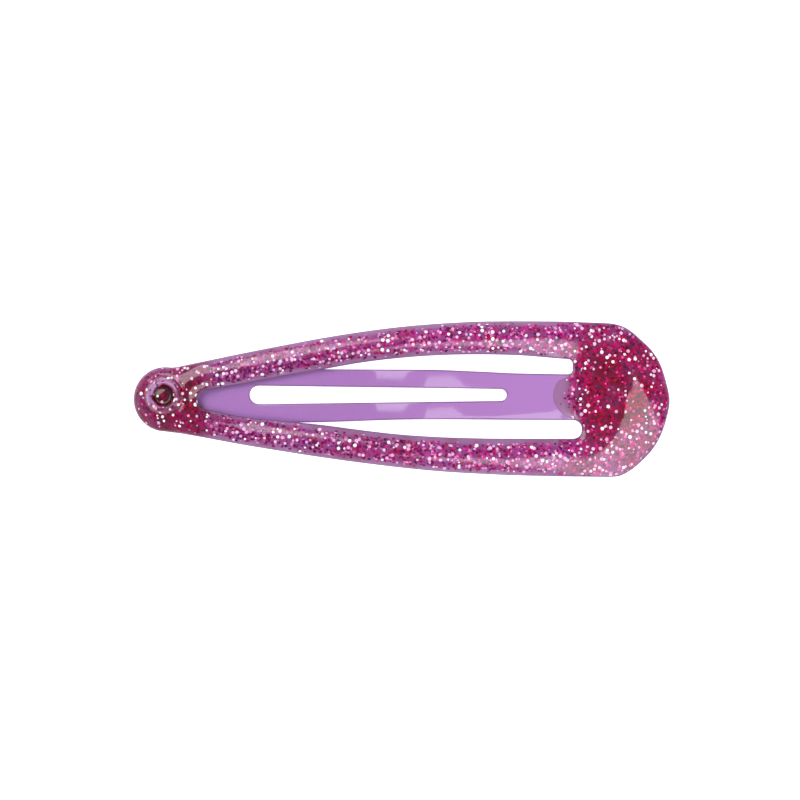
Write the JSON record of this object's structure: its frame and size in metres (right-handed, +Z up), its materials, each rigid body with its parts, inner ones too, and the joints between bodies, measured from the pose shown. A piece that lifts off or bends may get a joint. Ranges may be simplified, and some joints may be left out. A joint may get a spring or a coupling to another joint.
{
  "type": "snap hair clip",
  "caption": "Arched snap hair clip: side legs riveted at a round tip, a slotted centre tongue, and glitter resin over the frame.",
  "frame": {"origin": "centre of the clip's length and width, on the surface that its two ends rest on", "axes": "+X from the riveted tip to the wide end, +Y across the clip, +Z up out of the resin face"},
  "size_m": [0.05, 0.0145, 0.0041],
  "materials": {
    "painted_steel": "lavender gloss lacquer on spring steel",
    "painted_eyelet": "lavender lacquer on a rolled eyelet",
    "glitter_resin": "poured clear resin full of pink and crimson glitter"
  },
  "bodies": {
    "base": {"tongue_plate": "painted_steel", "end_coat": "glitter_resin"},
    "arms": {"upper_leg": "painted_steel", "lower_leg": "painted_steel", "eyelet": "painted_eyelet", "leg_coat": "glitter_resin"}
  },
  "joints": [
    {"name": "snap_open", "type": "hinge", "parent": "base", "child": "arms", "pos_m": [0.01445, 0, 0.0019], "axis": [0, 1, 0], "range_deg": [0, 22]}
  ]
}
